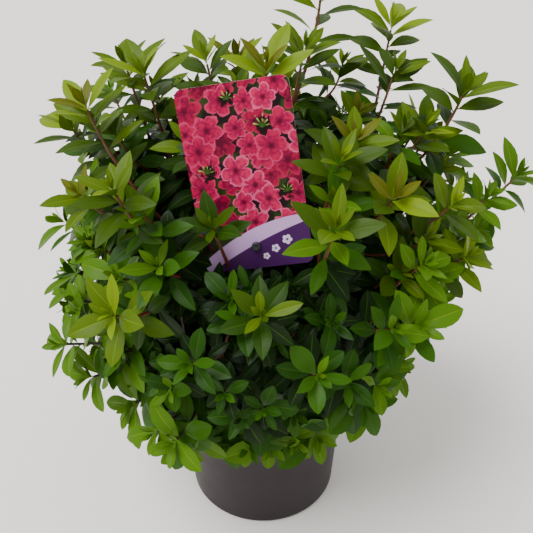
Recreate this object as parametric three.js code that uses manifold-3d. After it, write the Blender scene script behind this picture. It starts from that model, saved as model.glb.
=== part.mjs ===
// A pot-grown azalea: a round plastic pot of compost, a short stem that forks into
// boughs, and the crown of leafy shoots they carry, with a picture label on a stake.
// Millimetres, +Z up, origin at the middle of the pot's flat underside, -Y is the front.
import * as THREE from "three";
import { mergeVertices } from "three/addons/utils/BufferGeometryUtils.js";
import Module from "manifold-3d";

const wasm = await Module();
wasm.setup();

const seat = 0.3; // clearance where one piece rests on another
const grain = 0.001; // corners closer than this fall together
const goldenTurn = Math.PI * (3 - Math.sqrt(5));

const pot = {
  height: 124,
  footRadius: 75,
  footRound: 5,
  shoulderRadius: 79.6,
  shoulderHeight: 92,
  collarRadius: 85,
  collarHeight: 104,
  footEdge: 2,
  chamfer: 1.5,
  chamferRun: 2.4,
  lipHeight: 2,
  lipFlare: 0.6,
  lipRound: 0.4,
  innerStep: 2,
  wall: 2.4,
  floor: 3,
  facets: 36,
};
const compost = { top: 112, facets: 32, wallRoom: 0.8, footRoom: 1, collarRoom: 3 };
const trunk = {
  top: 186,
  lean: 3,
  flareRadius: 12,
  flareHeight: 12,
  flareFade: 2,
  radius: 8,
  topRadius: 6,
  sides: 10,
  steps: 5,
};
const bough = {
  share: 0.42,
  rootRadius: 3.1,
  tipRadius: 2,
  sag: 7,
  stagger: 5,
  room: 1,
  sides: 5,
  steps: 3,
  samples: 16,
};

// The crown's skin is a surface of revolution, widest at one height and closing
// above to the top and below to the hem. Masses fan out from the heart.
const crown = {
  heart: 200,
  top: 488,
  widest: 290,
  hem: 112,
  radius: 190,
  shoulderPower: 2.3,
  hemPower: 2.3,
  lowestPolar: 141,
};
const tiers = [
  { name: "crest", count: 1, polar: 0, turn: 0, forkHeight: trunk.top },
  { name: "upper", count: 5, polar: 38, turn: 18, forkHeight: 165 },
  { name: "middle", count: 7, polar: 69, turn: 262, forkHeight: 152 },
  { name: "skirt", count: 6, polar: 100, turn: 288, forkHeight: 138 },
];
const shoots = {
  count: 104,
  hemShare: 1.3,
  seed: 9,
  turnJitter: 0.3,
  uneven: 0.45,
  lowTopTo: 35,
  leftFrom: -100,
  leftTop: 432,
  topRise: 0.24,
  mostRise: 18,
  topFall: 0.35,
  stemShare: 0.14,
  stemRadius: 1.8,
  stemTipRadius: 1.3,
  stemSides: 4,
  stemSteps: 2,
  firstRoot: 0.3,
  rootSpan: 0.66,
  rootRadius: 1.2,
  tipRadius: 0.8,
  sides: 3,
  steps: 2,
  bend: 0.5,
  hemLean: 112,
  leanPower: 1.1,
  pulls: 5,
  pullShare: 0.3,
  elbowRoom: 2,
  borderRoom: 0.2,
};
const corners = { front: 60, top: 320, fade: 60, draw: 0.25, lift: 18, leftHem: 200 };
// Long shoots that stand out of the skin: the azimuth, the radius and the height of each tip.
const leaders = [
  { azimuth: 2, radius: 216, height: 342 },
  { azimuth: 353, radius: 155, height: 424 },
  { azimuth: 38.5, radius: 144.5, height: 448 },
  { azimuth: 40, radius: 62, height: 508 },
  { azimuth: 178, radius: 156, height: 388 },
  { azimuth: 164, radius: 116, height: 430 },
];
const leaf = {
  length: 43,
  width: 17,
  widestAt: 0.47,
  keel: 1.5,
  sink: 0.3,
  count: 8,
  spacing: 0.11,
  endShare: 0.62,
  endSpread: 14,
  spreadStep: 11,
  borderRoom: 0.3,
};

const card = {
  width: 82,
  height: 137,
  thickness: 0.8,
  corner: 6,
  centre: new THREE.Vector3(-11.6, -80, 382.5),
  lean: 12.2,
  yaw: -6.3,
  roll: 10.1,
  pegDrop: 51.5,
  holeRadius: 2.1,
};
const peg = {
  headRadius: 3.6,
  headTaper: 0.86,
  headHeight: 1.8,
  headSides: 12,
  shankRadius: 1.6,
  shankLength: 5,
  shankSides: 8,
  overlap: 0.4,
};
const stake = {
  width: 6,
  thickness: 2.2,
  foot: new THREE.Vector3(8, -64, 56),
  point: 14,
  beyondPeg: 5,
  room: 1.5,
};
// The leaves are parted before the card: how far forward, and how fast the parting rises.
const parting = { side: 3, back: 2, depth: 150, lowRise: 0.34, highRise: 0.1, tipRoom: 14, step: 4 };

const radians = (degrees) => (degrees * Math.PI) / 180;
const up = new THREE.Vector3(0, 0, 1);
const heart = new THREE.Vector3(0, 0, crown.heart);

const materials = {
  pot: new THREE.MeshStandardMaterial({ color: 0x3d3a3c, roughness: 0.55, metalness: 0 }),
  compost: new THREE.MeshStandardMaterial({ color: 0x2a1c12, roughness: 0.95, metalness: 0 }),
  bark: new THREE.MeshStandardMaterial({ color: 0x5b3a24, roughness: 0.85, metalness: 0 }),
  leaf: new THREE.MeshStandardMaterial({ color: 0x4c7a1c, roughness: 0.5, metalness: 0 }),
  card: new THREE.MeshStandardMaterial({ color: 0xd23a68, roughness: 0.35, metalness: 0 }),
  peg: new THREE.MeshStandardMaterial({ color: 0x4a5254, roughness: 0.5, metalness: 0 }),
};

// Numbers from 0 to 1 that are the same on each run.
function seeded(seed) {
  const multiplier = 1664525;
  const increment = 1013904223;
  let state = seed >>> 0;
  return () => {
    state = (Math.imul(state, multiplier) + increment) >>> 0;
    return state / 2 ** 32;
  };
}

function solidOf(geometry) {
  const bare = geometry.clone();
  bare.deleteAttribute("normal");
  bare.deleteAttribute("uv");
  const merged = mergeVertices(bare, grain / 10);
  return new wasm.Manifold(
    new wasm.Mesh({
      numProp: 3,
      vertProperties: new Float32Array(merged.attributes.position.array),
      triVerts: new Uint32Array(merged.index.array),
    }),
  );
}

function geometryOf(solid) {
  const made = solid.getMesh();
  const positions = made.vertProperties.map((value) => Math.round(value / grain) * grain);
  const geometry = new THREE.BufferGeometry();
  geometry.setAttribute("position", new THREE.BufferAttribute(positions, 3));
  geometry.setIndex(new THREE.BufferAttribute(made.triVerts, 1));
  geometry.computeVertexNormals();
  return geometry;
}

function largestBody(solid) {
  const bodies = solid.decompose();
  return bodies.reduce((best, body) => (body.volume() > best.volume() ? body : best));
}

function addPiece(name, solid, material) {
  placed.push(solid);
  const mesh = new THREE.Mesh(geometryOf(solid), material);
  mesh.name = name;
  azalea.add(mesh);
}

function lathe(profile, facets) {
  const points = profile.map(([radius, height]) => new THREE.Vector2(radius, height));
  return solidOf(new THREE.LatheGeometry(points, facets).rotateX(Math.PI / 2));
}

// A tapering limb along a curve, made from a cylinder whose rings are moved onto it.
function limb(curve, radiusAt, sides, steps) {
  const cylinder = new THREE.CylinderGeometry(1, 1, 1, sides, steps);
  const chord = curve.getPoint(1).sub(curve.getPoint(0)).normalize();
  const nearlyUpright = Math.abs(chord.z) > 0.9;
  const helper = nearlyUpright ? new THREE.Vector3(1, 0, 0) : up;
  const side = new THREE.Vector3().crossVectors(chord, helper).normalize();
  const position = cylinder.attributes.position;
  for (let i = 0; i < position.count; i++) {
    const x = position.getX(i);
    const z = position.getZ(i);
    const t = position.getY(i) + 0.5;
    const tangent = curve.getTangent(t);
    const across = side.clone().addScaledVector(tangent, -side.dot(tangent)).normalize();
    const over = new THREE.Vector3().crossVectors(tangent, across);
    const place = curve.getPoint(t);
    place.addScaledVector(across, x * radiusAt(t));
    place.addScaledVector(over, -z * radiusAt(t));
    position.setXYZ(i, place.x, place.y, place.z);
  }
  return solidOf(cylinder);
}

// A point on the straight pieces a limb is made of.
function onLimb(curve, t, steps) {
  const piece = Math.min(Math.floor(t * steps), steps - 1);
  const from = curve.getPoint(piece / steps);
  return from.lerp(curve.getPoint((piece + 1) / steps), t * steps - piece);
}

// One leaf of four faces: a rhombus seen from above, with a keel below its midrib.
// along points from its root to its tip, face is its upper side.
function leafSolid(root, along, face, length) {
  const across = new THREE.Vector3().crossVectors(along, face).normalize();
  const widest = root.clone().addScaledVector(along, length * leaf.widestAt);
  widest.addScaledVector(face, leaf.keel);
  const corners = [
    root,
    root.clone().addScaledVector(along, length),
    widest.clone().addScaledVector(across, leaf.width / 2),
    widest.clone().addScaledVector(across, -leaf.width / 2),
  ];
  const tetrahedron = new THREE.BufferGeometry().setFromPoints(corners);
  tetrahedron.setIndex([0, 2, 3, 1, 3, 2, 0, 1, 2, 0, 3, 1]);
  return solidOf(tetrahedron);
}

// True where each edge belongs to two faces once the corners have fallen onto the grain.
function closes(solid) {
  const geometry = geometryOf(solid);
  geometry.deleteAttribute("normal");
  const corners = mergeVertices(geometry, grain / 10).index.array;
  const uses = new Map();
  for (let i = 0; i < corners.length; i++) {
    const next = i % 3 === 2 ? i - 2 : i + 1;
    const edge = [corners[i], corners[next]].sort((a, b) => a - b).join();
    uses.set(edge, (uses.get(edge) ?? 0) + 1);
  }
  return [...uses.values()].every((count) => count === 2);
}

function crossing(solid, other) {
  const [a, b] = [solid.boundingBox(), other.boundingBox()];
  for (let i = 0; i < 3; i++) {
    if (a.min[i] > b.max[i] || b.min[i] > a.max[i]) return false;
  }
  return !solid.intersect(other).isEmpty();
}

function skinRadius(z) {
  const above = z > crown.widest;
  const span = above ? crown.top - crown.widest : crown.widest - crown.hem;
  const share = Math.abs(z - crown.widest) / span;
  if (share >= 1) return 0;
  const power = above ? crown.shoulderPower : crown.hemPower;
  return crown.radius * Math.sqrt(1 - Math.pow(share, power));
}

// How far the skin lies from a height on the axis, along a polar angle from the vertical.
function skinReach(height, polar) {
  const halvings = 40;
  let [near, far] = [0, 2 * crown.radius];
  for (let i = 0; i < halvings; i++) {
    const middle = (near + far) / 2;
    const inside = middle * Math.sin(polar) < skinRadius(height + middle * Math.cos(polar));
    if (inside) near = middle;
    else far = middle;
  }
  return near;
}

function pointAt(radius, azimuth, height) {
  return new THREE.Vector3(radius * Math.cos(azimuth), radius * Math.sin(azimuth), height);
}

// The direction of a shoot's tip: upright at the top of the crown, drooping at its hem.
function tipDirection(tip) {
  const share = THREE.MathUtils.clamp((crown.top - tip.z) / (crown.top - crown.hem), 0, 1);
  const lean = radians(shoots.hemLean * Math.pow(share, shoots.leanPower));
  const azimuth = Math.atan2(tip.y, tip.x);
  return pointAt(Math.sin(lean), azimuth, Math.cos(lean));
}

// Tips spread by area over the skin, closer together towards the hem, each on the next golden turn.
function shootTips() {
  const random = seeded(shoots.seed);
  const steps = 90;
  const rows = [];
  let area = 0;
  for (let i = 0; i <= steps; i++) {
    const polar = (radians(crown.lowestPolar) * i) / steps;
    const reach = skinReach(crown.widest, polar);
    const row = { radius: reach * Math.sin(polar), height: crown.widest + reach * Math.cos(polar) };
    if (i > 0) {
      const last = rows[i - 1];
      const length = Math.hypot(row.radius - last.radius, row.height - last.height);
      const lowness = (crown.top - row.height) / (crown.top - crown.hem);
      area += Math.PI * (row.radius + last.radius) * length * (1 + shoots.hemShare * lowness);
    }
    rows.push({ ...row, area });
  }
  const tips = [];
  for (let k = 0; k < shoots.count; k++) {
    const target = (area * (k + 0.5)) / shoots.count;
    const i = rows.findIndex((row) => row.area >= target);
    const [a, b] = [rows[i - 1], rows[i]];
    const t = (target - a.area) / (b.area - a.area);
    const azimuth = k * goldenTurn + shoots.turnJitter * (random() - 0.5);
    const height = a.height + (b.height - a.height) * t;
    const full = pointAt(a.radius + (b.radius - a.radius) * t, azimuth, height);
    const tip = full.sub(heart).multiplyScalar(1 - shoots.uneven * random() ** 2).add(heart);
    tips.push(besideCard(shaped(tip)));
  }
  for (const leader of leaders) {
    tips.push(pointAt(leader.radius, radians(leader.azimuth), leader.height));
  }
  return tips;
}

// The crown's top is lower on its left and behind. Its front corners draw in below the card,
// on the left only above the hem, and the right one rises.
function shaped(tip) {
  if (tip.x < shoots.lowTopTo) {
    const slope = shoots.topRise * (tip.x - shoots.leftFrom);
    const rise = THREE.MathUtils.clamp(slope, 0, shoots.mostRise);
    const fall = shoots.topFall * Math.max(tip.y, 0);
    tip.z = Math.min(tip.z, shoots.leftTop + rise - fall);
  }
  const forward = THREE.MathUtils.clamp(-tip.y / corners.front, 0, 1);
  const down = THREE.MathUtils.clamp((corners.top - tip.z) / corners.fade, 0, 1);
  const right = tip.x > 0;
  if (right || tip.z > corners.leftHem) tip.x *= 1 - corners.draw * forward * down;
  if (right) tip.z += corners.lift * forward * down;
  return tip;
}

// A tip that would stand before the card is lowered under the card's foot, or where it is
// high up moved to behind the card.
function besideCard(tip) {
  const high = tip.z > card.centre.z;
  while (inParting(tip, parting.tipRoom)) {
    if (high) tip.y += parting.step;
    else tip.z -= parting.step;
  }
  return tip;
}

// Each mass has a direction from the heart. Its own space is the cone of points that
// lie nearer to that direction than to any other mass's.
function layOutMasses() {
  const masses = [];
  for (const tier of tiers) {
    for (let i = 0; i < tier.count; i++) {
      const azimuth = radians(tier.turn + (360 * i) / tier.count);
      const polar = radians(tier.polar);
      const direction = pointAt(Math.sin(polar), azimuth, Math.cos(polar));
      const reach = skinReach(crown.heart, polar);
      const forkHeight = tier.forkHeight + bough.stagger * (i % 2);
      const start = trunkLine.getPoint((forkHeight - compost.top) / (trunk.top - compost.top));
      const end = heart.clone().addScaledVector(direction, bough.share * reach);
      const sag = tier.polar > 0 ? bough.sag : 0;
      const middle = start.clone().lerp(end, 0.5).add(pointAt(sag, azimuth, -sag));
      masses.push({
        name: tier.count > 1 ? `${tier.name}_${i + 1}` : tier.name,
        direction,
        reach,
        curve: new THREE.QuadraticBezierCurve3(start, middle, end),
        tips: [],
      });
    }
  }
  return masses;
}

// The smallest distance from a point to the borders of a mass's own space.
function roomInside(mass, point) {
  const from = point.clone();
  from.z -= crown.heart;
  let room = Infinity;
  for (const other of masses) {
    if (other !== mass) {
      const border = mass.direction.clone().sub(other.direction).normalize();
      room = Math.min(room, from.dot(border));
    }
  }
  return room;
}

const cardTurn = new THREE.Matrix4()
  .makeRotationZ(radians(card.yaw))
  .multiply(new THREE.Matrix4().makeRotationX(-radians(card.lean)))
  .multiply(new THREE.Matrix4().makeRotationY(-radians(card.roll)));
const cardFrame = new THREE.Matrix4().makeTranslation(card.centre).multiply(cardTurn);
const cardFrameBack = cardFrame.clone().invert();
const pegPlace = new THREE.Vector3(0, 0, -card.pegDrop).applyMatrix4(cardFrame);

// True in the space before the card that is kept free of leaves, and at the card itself.
function inParting(point, margin) {
  const local = point.clone().applyMatrix4(cardFrameBack);
  const forward = -local.y;
  const insideWidth = Math.abs(local.x) < card.width / 2 + parting.side + margin;
  const low = -card.height / 2 - margin + Math.max(forward, 0) * parting.lowRise;
  const high = card.height / 2 + margin + Math.max(forward, 0) * parting.highRise;
  const insideHeight = local.z > low && local.z < high;
  return insideWidth && insideHeight && forward > -parting.back - margin && forward < parting.depth;
}

function distanceToSegment(point, a, b) {
  const nearest = new THREE.Vector3();
  new THREE.Line3(a, b).closestPointToPoint(point, true, nearest);
  return nearest.distanceTo(point);
}

// True where a point keeps clear of the pot, the stake, the card and every bough.
function clearOfRest(point, margin) {
  const room = bough.room + margin;
  const radius = Math.hypot(point.x, point.y);
  if (radius < pot.collarRadius + room && point.z < pot.height + room) return false;
  const stakeRoom = stake.width / 2 + stake.room + margin;
  if (distanceToSegment(point, stake.foot, pegPlace) < stakeRoom) return false;
  if (inParting(point, margin)) return false;
  for (const limbPoint of limbPoints) {
    if (limbPoint.place.distanceTo(point) < limbPoint.radius + room) return false;
  }
  return true;
}

// The stem of a mass carries on from its bough and bends into the mass's direction.
function stemCurveOf(mass) {
  const heading = mass.curve.getTangent(1);
  const start = mass.curve.getPoint(1).addScaledVector(heading, seat);
  const end = start.clone().addScaledVector(mass.direction, shoots.stemShare * mass.reach);
  const bendPoint = start.clone().addScaledVector(heading, start.distanceTo(end) / 2);
  return new THREE.QuadraticBezierCurve3(start, bendPoint, end);
}

function stemRadius(t) {
  return shoots.stemRadius + (shoots.stemTipRadius - shoots.stemRadius) * t;
}

function shootRadius(t) {
  return shoots.rootRadius + (shoots.tipRadius - shoots.rootRadius) * t;
}

// The curves of a mass's shoots, each rooted further along the stem, and free of what stands.
function shootCurvesOf(mass, stemCurve, rest) {
  const curves = mass.tips.map((tip, index) => {
    const share = mass.tips.length > 1 ? index / (mass.tips.length - 1) : 1;
    const t = shoots.firstRoot + shoots.rootSpan * share;
    return shootCurve(mass, onLimb(stemCurve, t, shoots.stemSteps), tip);
  });
  return curves.filter((curve) => {
    if (curve === null) return false;
    const twig = limb(curve, shootRadius, shoots.sides, shoots.steps);
    return !rest.some((solid) => crossing(twig, solid));
  });
}

function addFoliage(mass) {
  const rest = [...placed];
  const stemCurve = stemCurveOf(mass);
  const curves = shootCurvesOf(mass, stemCurve, rest);
  const twigs = curves.map((curve) => limb(curve, shootRadius, shoots.sides, shoots.steps));
  const stem = limb(stemCurve, stemRadius, shoots.stemSides, shoots.stemSteps);
  const wood = [stem, ...twigs];
  const blades = [];
  curves.forEach((curve, index) => {
    const others = [...rest, ...wood].filter((solid) => solid !== twigs[index]);
    for (const blade of leavesOn(mass, curve, index)) {
      const free = ![...others, ...blades].some((other) => crossing(blade, other));
      if (free) blades.push(blade);
    }
  });
  let whole = largestBody(wasm.Manifold.union([...wood, ...blades]));
  for (let i = 0; i < blades.length && !closes(whole); i++) {
    const kept = blades.filter((blade, k) => k !== i);
    whole = largestBody(wasm.Manifold.union([...wood, ...kept]));
  }
  addPiece(`foliage_${mass.name}`, whole, materials.leaf);
}

// A shoot from the mass's stem to its tip, or nothing where it can't keep to the mass's own space.
function shootCurve(mass, root, tip) {
  const elbow = tip.clone().addScaledVector(tipDirection(tip), -shoots.bend * root.distanceTo(tip));
  const halfway = root.clone().lerp(tip, 0.5);
  for (let i = 0; i < shoots.pulls && roomInside(mass, elbow) < shoots.elbowRoom; i++) {
    elbow.lerp(halfway, shoots.pullShare);
  }
  const curve = new THREE.QuadraticBezierCurve3(root, elbow, tip);
  const samples = [0.25, 0.4, 0.55, 0.7, 0.85, 1].map((t) => curve.getPoint(t));
  const room = shoots.rootRadius + shoots.borderRoom;
  const free = samples.every((place) => {
    return roomInside(mass, place) > room && clearOfRest(place, shoots.rootRadius);
  });
  return free ? curve : null;
}

// Leaves on a shoot, from its tip down, each a golden turn from the last.
function leavesOn(mass, curve, index) {
  const blades = [];
  for (let j = 0; j < leaf.count; j++) {
    const t = 1 - leaf.spacing * j;
    const tangent = curve.getTangent(t);
    const towards = mass.direction.clone().add(up);
    const side = new THREE.Vector3().crossVectors(tangent, towards).normalize();
    const over = new THREE.Vector3().crossVectors(tangent, side);
    const turn = goldenTurn * j + index + 0.5;
    const outward = side.multiplyScalar(Math.cos(turn)).addScaledVector(over, Math.sin(turn));
    const spread = radians(leaf.endSpread + leaf.spreadStep * j);
    const [cos, sin] = [Math.cos(spread), Math.sin(spread)];
    const along = tangent.clone().multiplyScalar(cos).addScaledVector(outward, sin);
    const face = tangent.clone().multiplyScalar(sin).addScaledVector(outward, -cos);
    const length = leaf.length * (j === 0 ? leaf.endShare : 1);
    const root = onLimb(curve, t, shoots.steps).addScaledVector(along, -leaf.sink / sin);
    const edge = new THREE.Vector3().crossVectors(along, face).multiplyScalar(leaf.width / 2);
    const widest = root.clone().addScaledVector(along, length * leaf.widestAt);
    const outline = [
      root.clone().addScaledVector(along, length),
      widest.clone().add(edge),
      widest.clone().sub(edge),
      root.clone().addScaledVector(along, length / 4),
      root.clone().addScaledVector(along, length * 0.75),
    ];
    const room = leaf.keel + leaf.borderRoom;
    const free = outline.every((point) => {
      return roomInside(mass, point) > room && clearOfRest(point, leaf.keel);
    });
    if (free) blades.push(leafSolid(root, along, face, length));
  }
  return blades;
}

function makePot() {
  const { footRadius, footRound, shoulderRadius, shoulderHeight, collarRadius, collarHeight } = pot;
  const { chamfer, chamferRun, lipHeight, lipFlare, lipRound, innerStep, height, wall, floor } = pot;
  return lathe(
    [
      [0, 0],
      [footRadius - footRound - pot.footEdge, 0],
      [footRadius - chamferRun, chamfer],
      [footRadius, footRound],
      [shoulderRadius, shoulderHeight],
      [collarRadius, collarHeight],
      [collarRadius + lipFlare, height - lipHeight],
      [collarRadius - lipRound, height],
      [collarRadius - wall + lipRound, height],
      [collarRadius - wall, collarHeight + innerStep],
      [shoulderRadius - wall, shoulderHeight + innerStep],
      [footRadius - wall, footRound + floor],
      [footRadius - wall - footRound, floor],
      [0, floor],
    ],
    pot.facets,
  );
}

function makeCompost() {
  const inner = (radius) => radius - pot.wall - compost.wallRoom;
  return lathe(
    [
      [0, pot.floor + seat],
      [inner(pot.footRadius) - pot.footRound, pot.floor + seat],
      [inner(pot.footRadius), pot.footRound + pot.floor + compost.footRoom],
      [inner(pot.shoulderRadius), pot.shoulderHeight + pot.innerStep],
      [inner(pot.collarRadius), pot.collarHeight + compost.collarRoom],
      [inner(pot.collarRadius), compost.top],
      [0, compost.top],
    ],
    compost.facets,
  );
}

function trunkRadius(t) {
  const above = (t * (trunk.top - compost.top)) / trunk.flareHeight;
  const flare = (trunk.flareRadius - trunk.radius) * Math.exp(-trunk.flareFade * above);
  return trunk.radius + (trunk.topRadius - trunk.radius) * t + flare;
}

function trunkCurve() {
  const base = new THREE.Vector3(0, 0, compost.top + seat);
  const tip = new THREE.Vector3(trunk.lean, 0, trunk.top);
  const middle = base.clone().lerp(tip, 0.5).setX(0);
  return new THREE.QuadraticBezierCurve3(base, middle, tip);
}

function boughRadius(t) {
  return bough.rootRadius + (bough.tipRadius - bough.rootRadius) * t;
}

function makeCard() {
  const [w, h, r] = [card.width / 2, card.height / 2, card.corner];
  const curveSegments = 3;
  const outline = new THREE.Shape();
  outline.moveTo(-w + r, -h);
  outline.absarc(w - r, -h + r, r, -Math.PI / 2, 0);
  outline.absarc(w - r, h - r, r, 0, Math.PI / 2);
  outline.absarc(-w + r, h - r, r, Math.PI / 2, Math.PI);
  outline.absarc(-w + r, -h + r, r, Math.PI, 1.5 * Math.PI);
  const hole = new THREE.Path();
  hole.absarc(0, -card.pegDrop, card.holeRadius, 0, 2 * Math.PI);
  outline.holes.push(hole);
  const depth = card.thickness;
  const sheet = new THREE.ExtrudeGeometry(outline, { depth, bevelEnabled: false, curveSegments });
  sheet.rotateX(Math.PI / 2).translate(0, card.thickness / 2, 0);
  return solidOf(sheet.applyMatrix4(cardFrame));
}

function makePeg() {
  const { headRadius, headHeight, shankRadius, shankLength } = peg;
  const faceRadius = headRadius * peg.headTaper;
  const head = new THREE.CylinderGeometry(headRadius, faceRadius, headHeight, peg.headSides);
  const shank = new THREE.CylinderGeometry(shankRadius, shankRadius, shankLength, peg.shankSides);
  const front = -card.thickness / 2 - seat;
  head.translate(0, front - headHeight / 2, -card.pegDrop);
  shank.translate(0, front - peg.overlap + shankLength / 2, -card.pegDrop);
  const parts = [head, shank].map((piece) => solidOf(piece.applyMatrix4(cardFrame)));
  return wasm.Manifold.union(parts);
}

// The stake's blade runs from its point in the compost to the peg, and is cut clear of both.
function makeStake(grow) {
  const [from, to] = [stake.foot, pegPlace];
  const length = from.distanceTo(to) + stake.beyondPeg;
  const half = stake.width / 2 + grow;
  const blade = new THREE.Shape();
  blade.moveTo(0, -grow);
  blade.lineTo(half, stake.point);
  blade.lineTo(half, length);
  blade.lineTo(-half, length);
  blade.lineTo(-half, stake.point);
  const depth = stake.thickness + 2 * grow;
  const bar = new THREE.ExtrudeGeometry(blade, { depth, bevelEnabled: false });
  bar.translate(0, 0, -depth / 2);
  const along = to.clone().sub(from).normalize();
  const across = new THREE.Vector3(1, 0, 0).addScaledVector(along, -along.x).normalize();
  const through = new THREE.Vector3().crossVectors(across, along);
  const frame = new THREE.Matrix4().makeBasis(across, along, through).setPosition(from);
  return solidOf(bar.applyMatrix4(frame));
}

// What the stake is cut by: the space from the card's back forward, and a bore for the peg.
function cardKeepOut() {
  const depth = 40;
  const slab = new THREE.BoxGeometry(card.width * 2, depth, card.height);
  slab.translate(0, card.thickness / 2 + seat - depth / 2, 0);
  const boreRadius = peg.shankRadius + seat;
  const bore = new THREE.CylinderGeometry(boreRadius, boreRadius, depth, peg.headSides);
  bore.translate(0, 0, -card.pegDrop);
  return wasm.Manifold.union([slab, bore].map((piece) => solidOf(piece.applyMatrix4(cardFrame))));
}

const azalea = new THREE.Group();
const placed = [];
const trunkLine = trunkCurve();
const masses = layOutMasses();
for (const tip of shootTips()) {
  const away = tip.clone().sub(heart);
  const nearness = masses.map((mass) => mass.direction.dot(away));
  masses[nearness.indexOf(Math.max(...nearness))].tips.push(tip);
}

// The crest's bough carries the trunk's own line on.
const crest = masses[0];
crest.curve.v0.copy(trunkLine.getPoint(1)).addScaledVector(trunkLine.getTangent(1), seat);
crest.curve.v1.copy(crest.curve.v0).addScaledVector(trunkLine.getTangent(1), bough.sag);

const limbPoints = [];
for (const mass of masses) {
  for (let i = 0; i <= bough.samples; i++) {
    const t = i / bough.samples;
    limbPoints.push({ place: mass.curve.getPoint(t), radius: boughRadius(t) });
  }
}

addPiece("pot", makePot(), materials.pot);
addPiece("compost", makeCompost().subtract(makeStake(seat)), materials.compost);
addPiece("trunk", limb(trunkLine, trunkRadius, trunk.sides, trunk.steps), materials.bark);
const trunkRoom = limb(trunkLine, (t) => trunkRadius(t) + seat, trunk.sides, trunk.steps);
for (const mass of masses) {
  const whole = limb(mass.curve, boughRadius, bough.sides, bough.steps);
  addPiece(`bough_${mass.name}`, largestBody(whole.subtract(trunkRoom)), materials.bark);
}
addPiece("label_stake", largestBody(makeStake(0).subtract(cardKeepOut())), materials.peg);
addPiece("label_card", makeCard(), materials.card);
addPiece("label_peg", makePeg(), materials.peg);
for (const mass of masses) addFoliage(mass);

export default azalea;
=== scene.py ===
# A pot-grown azalea in a studio: the pot, its compost, the bark of stem and boughs,
# leafy shoots grown by the part's own rule, and a picture label on a stake. Metres.
import math
import bpy
import numpy as np
from mathutils import Matrix, Vector


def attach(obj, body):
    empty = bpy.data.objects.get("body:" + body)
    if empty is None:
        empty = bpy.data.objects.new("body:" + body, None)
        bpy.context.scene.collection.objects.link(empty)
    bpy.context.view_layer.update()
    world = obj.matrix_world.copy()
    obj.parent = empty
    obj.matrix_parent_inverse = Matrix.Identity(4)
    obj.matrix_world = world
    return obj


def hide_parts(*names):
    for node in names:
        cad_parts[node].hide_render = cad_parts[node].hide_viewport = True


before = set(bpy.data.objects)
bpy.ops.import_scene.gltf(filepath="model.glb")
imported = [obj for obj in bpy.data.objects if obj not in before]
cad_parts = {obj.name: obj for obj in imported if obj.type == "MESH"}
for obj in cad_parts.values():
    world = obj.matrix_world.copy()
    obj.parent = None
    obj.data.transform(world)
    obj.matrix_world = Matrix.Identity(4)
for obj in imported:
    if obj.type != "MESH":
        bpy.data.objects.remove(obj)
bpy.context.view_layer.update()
seat = 0.0003  # clearance where one piece rests on another
goldenTurn = math.pi * (3 - math.sqrt(5))
up = Vector((0, 0, 1))


# Numbers from 0 to 1 that are the same on each run
def seeded(seed):
    state = seed
    while True:
        state = (state * 1664525 + 1013904223) % 4294967296
        yield state / 4294967296


def between(stream, low, high):
    return low + (high - low) * next(stream)


def jitter(stream, most):
    return between(stream, -most, most)


def pointAt(radius, azimuth, height):
    return Vector((radius * math.cos(azimuth), radius * math.sin(azimuth), height))


def mixed(a, b, share):
    return a + (b - a) * share


def onCurve(curve, t):
    a, b, c = curve
    return a * (1 - t) ** 2 + b * 2 * t * (1 - t) + c * t**2


def alongCurve(curve, t):
    a, b, c = curve
    return ((b - a) * (1 - t) + (c - b) * t).normalized()


def curveLength(curve):
    steps = 12
    points = [onCurve(curve, i / steps) for i in range(steps + 1)]
    return sum((q - p).length for p, q in zip(points, points[1:]))


# Meshes

def meshObject(name, vertices, faces, material, smooth=True):
    mesh = bpy.data.meshes.new(name)
    mesh.from_pydata([tuple(v) for v in vertices], [], [tuple(f) for f in faces])
    mesh.polygons.foreach_set("use_smooth", [smooth] * len(mesh.polygons))
    mesh.materials.append(material)
    mesh.update()
    obj = bpy.data.objects.new(name, mesh)
    bpy.context.scene.collection.objects.link(obj)
    return obj


# One mesh gathered from many small ones
class Heap:
    def __init__(self):
        self.vertices = []
        self.faces = []
        self.count = 0

    def add(self, vertices, faces):
        self.vertices.append(np.asarray(vertices))
        self.faces.append(np.asarray(faces) + self.count)
        self.count += len(vertices)

    def build(self, name, material, smooth=True):
        vertices = np.concatenate(self.vertices)
        faces = np.concatenate(self.faces).tolist()
        return meshObject(name, vertices, faces, material, smooth)


def place(obj, slot, *nodes):
    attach(obj, "root")
    if nodes:
        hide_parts(*nodes)
    return obj


# A surface of revolution about the upright axis. Its profile starts and ends on the axis.
def latheObject(name, profile, facets, material):
    turns = [2 * math.pi * k / facets for k in range(facets)]
    ring = [(math.cos(turn), math.sin(turn)) for turn in turns]
    vertices = [(0, 0, profile[0][1])]
    for radius, height in profile[1:-1]:
        vertices += [(radius * x, radius * y, height) for x, y in ring]
    vertices.append((0, 0, profile[-1][1]))
    last = len(vertices) - 1
    rows = len(profile) - 2
    faces = []
    for k in range(facets):
        n = (k + 1) % facets
        faces.append((0, 1 + n, 1 + k))
        for row in range(rows - 1):
            low = 1 + row * facets
            faces.append((low + k, low + n, low + facets + n, low + facets + k))
        top = 1 + (rows - 1) * facets
        faces.append((top + k, top + n, last))
    return meshObject(name, vertices, faces, material)


# A radius that changes evenly along a limb
def taper(start, end):
    return lambda t: mixed(start, end, t)


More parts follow.
